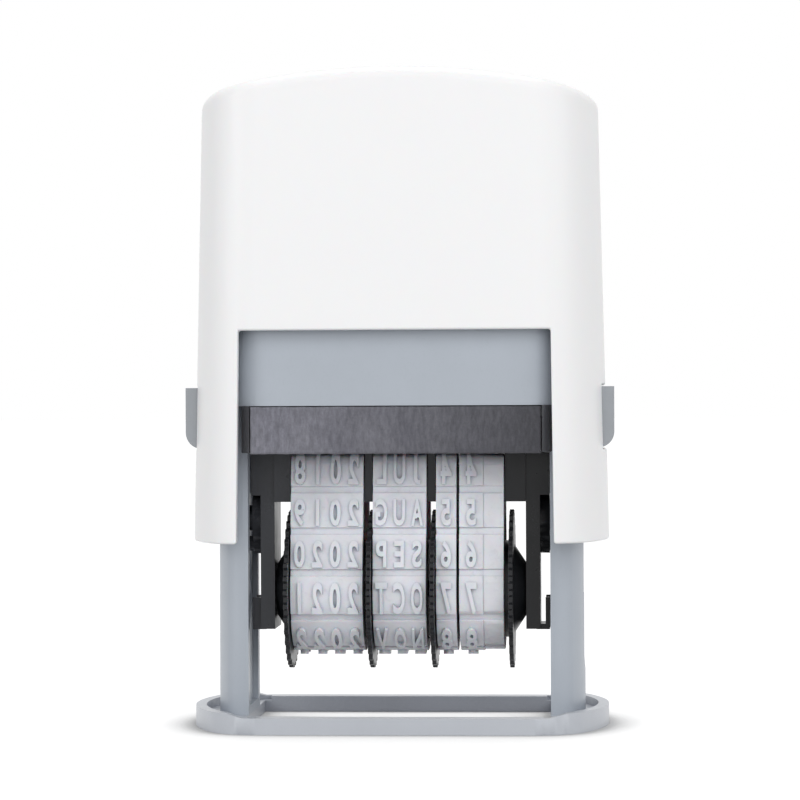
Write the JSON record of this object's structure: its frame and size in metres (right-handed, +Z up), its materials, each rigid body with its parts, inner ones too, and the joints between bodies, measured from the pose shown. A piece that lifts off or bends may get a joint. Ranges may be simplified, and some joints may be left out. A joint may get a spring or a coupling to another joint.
{
  "type": "self-inking date stamp",
  "caption": "Self-inking desk date stamp: pressing its white cap flips a rotor of date bands from the ink pad to the paper; thumb wheels set the date and side buttons free the pad.",
  "frame": {"origin": "on the desk, under the middle of the foot ring", "axes": "+Z up, -Y towards the front window, +X to the right as seen from the front"},
  "size_m": [0.04, 0.024, 0.0609],
  "materials": {
    "cap_plastic": "glossy white moulded plastic",
    "frame_plastic": "satin blue-grey moulded plastic",
    "ring_plastic": "satin pale blue-grey moulded plastic",
    "button_plastic": "satin grey moulded plastic",
    "cassette_plastic": "matt black moulded plastic",
    "felt": "dark ink-soaked felt",
    "spring_steel": "bright drawn spring wire",
    "rotor_plastic": "satin black moulded plastic",
    "pin_steel": "plain turned steel",
    "band_rubber": "translucent pale silicone rubber",
    "wheel_plastic": "satin black moulded plastic"
  },
  "bodies": {
    "frame": {"frame": "frame_plastic", "foot_ring": "ring_plastic", "pad_cassette": "cassette_plastic", "ink_pad": "felt", "return_spring": "spring_steel"},
    "cap": {"cap_shell": "cap_plastic"},
    "left_button": {"lock_button_left": "button_plastic"},
    "right_button": {"lock_button_right": "button_plastic"},
    "rotor": {"end_plate_left": "rotor_plastic", "end_plate_right": "rotor_plastic", "print_bridge": "rotor_plastic", "wheel_shaft": "pin_steel", "shaft_clips": "pin_steel", "trunnion_pin_left": "pin_steel", "trunnion_pin_right": "pin_steel", "year_band": "band_rubber", "month_band": "band_rubber", "tens_band": "band_rubber", "units_band": "band_rubber"},
    "year_wheel": {"year_wheel": "wheel_plastic"},
    "month_wheel": {"month_wheel": "wheel_plastic"},
    "tens_wheel": {"tens_wheel": "wheel_plastic"},
    "units_wheel": {"units_wheel": "wheel_plastic"}
  },
  "joints": [
    {"name": "cap_press", "type": "slide", "parent": "frame", "child": "cap", "axis": [0, 0, -1], "range_m": [0, 0.01295], "stiffness_N_per_m": 400, "springref_m": -0.008, "deforming": ["return_spring"]},
    {"name": "rotor_flip", "type": "hinge", "parent": "cap", "child": "rotor", "pos_m": [0, 0, 0.0193], "axis": [1, 0, 0], "range_deg": [0, 180]},
    {"name": "left_button_push", "type": "slide", "parent": "cap", "child": "left_button", "axis": [1, 0, 0], "range_m": [0, 0.0007], "stiffness_N_per_m": 800, "springref_m": -0.0005},
    {"name": "right_button_push", "type": "slide", "parent": "cap", "child": "right_button", "axis": [-1, 0, 0], "range_m": [0, 0.0007], "stiffness_N_per_m": 800, "springref_m": -0.0005},
    {"name": "year_wheel_turn", "type": "hinge", "parent": "rotor", "child": "year_wheel", "pos_m": [0, 0, 0.0126], "axis": [1, 0, 0], "continuous": true},
    {"name": "month_wheel_turn", "type": "hinge", "parent": "rotor", "child": "month_wheel", "pos_m": [0, 0, 0.0126], "axis": [1, 0, 0], "continuous": true},
    {"name": "tens_wheel_turn", "type": "hinge", "parent": "rotor", "child": "tens_wheel", "pos_m": [0, 0, 0.0126], "axis": [1, 0, 0], "continuous": true},
    {"name": "units_wheel_turn", "type": "hinge", "parent": "rotor", "child": "units_wheel", "pos_m": [0, 0, 0.0126], "axis": [1, 0, 0], "continuous": true}
  ],
  "couplings": [
    {"joint": "rotor_flip", "follows": "cap_press", "rad_per_m": 242.5}
  ]
}
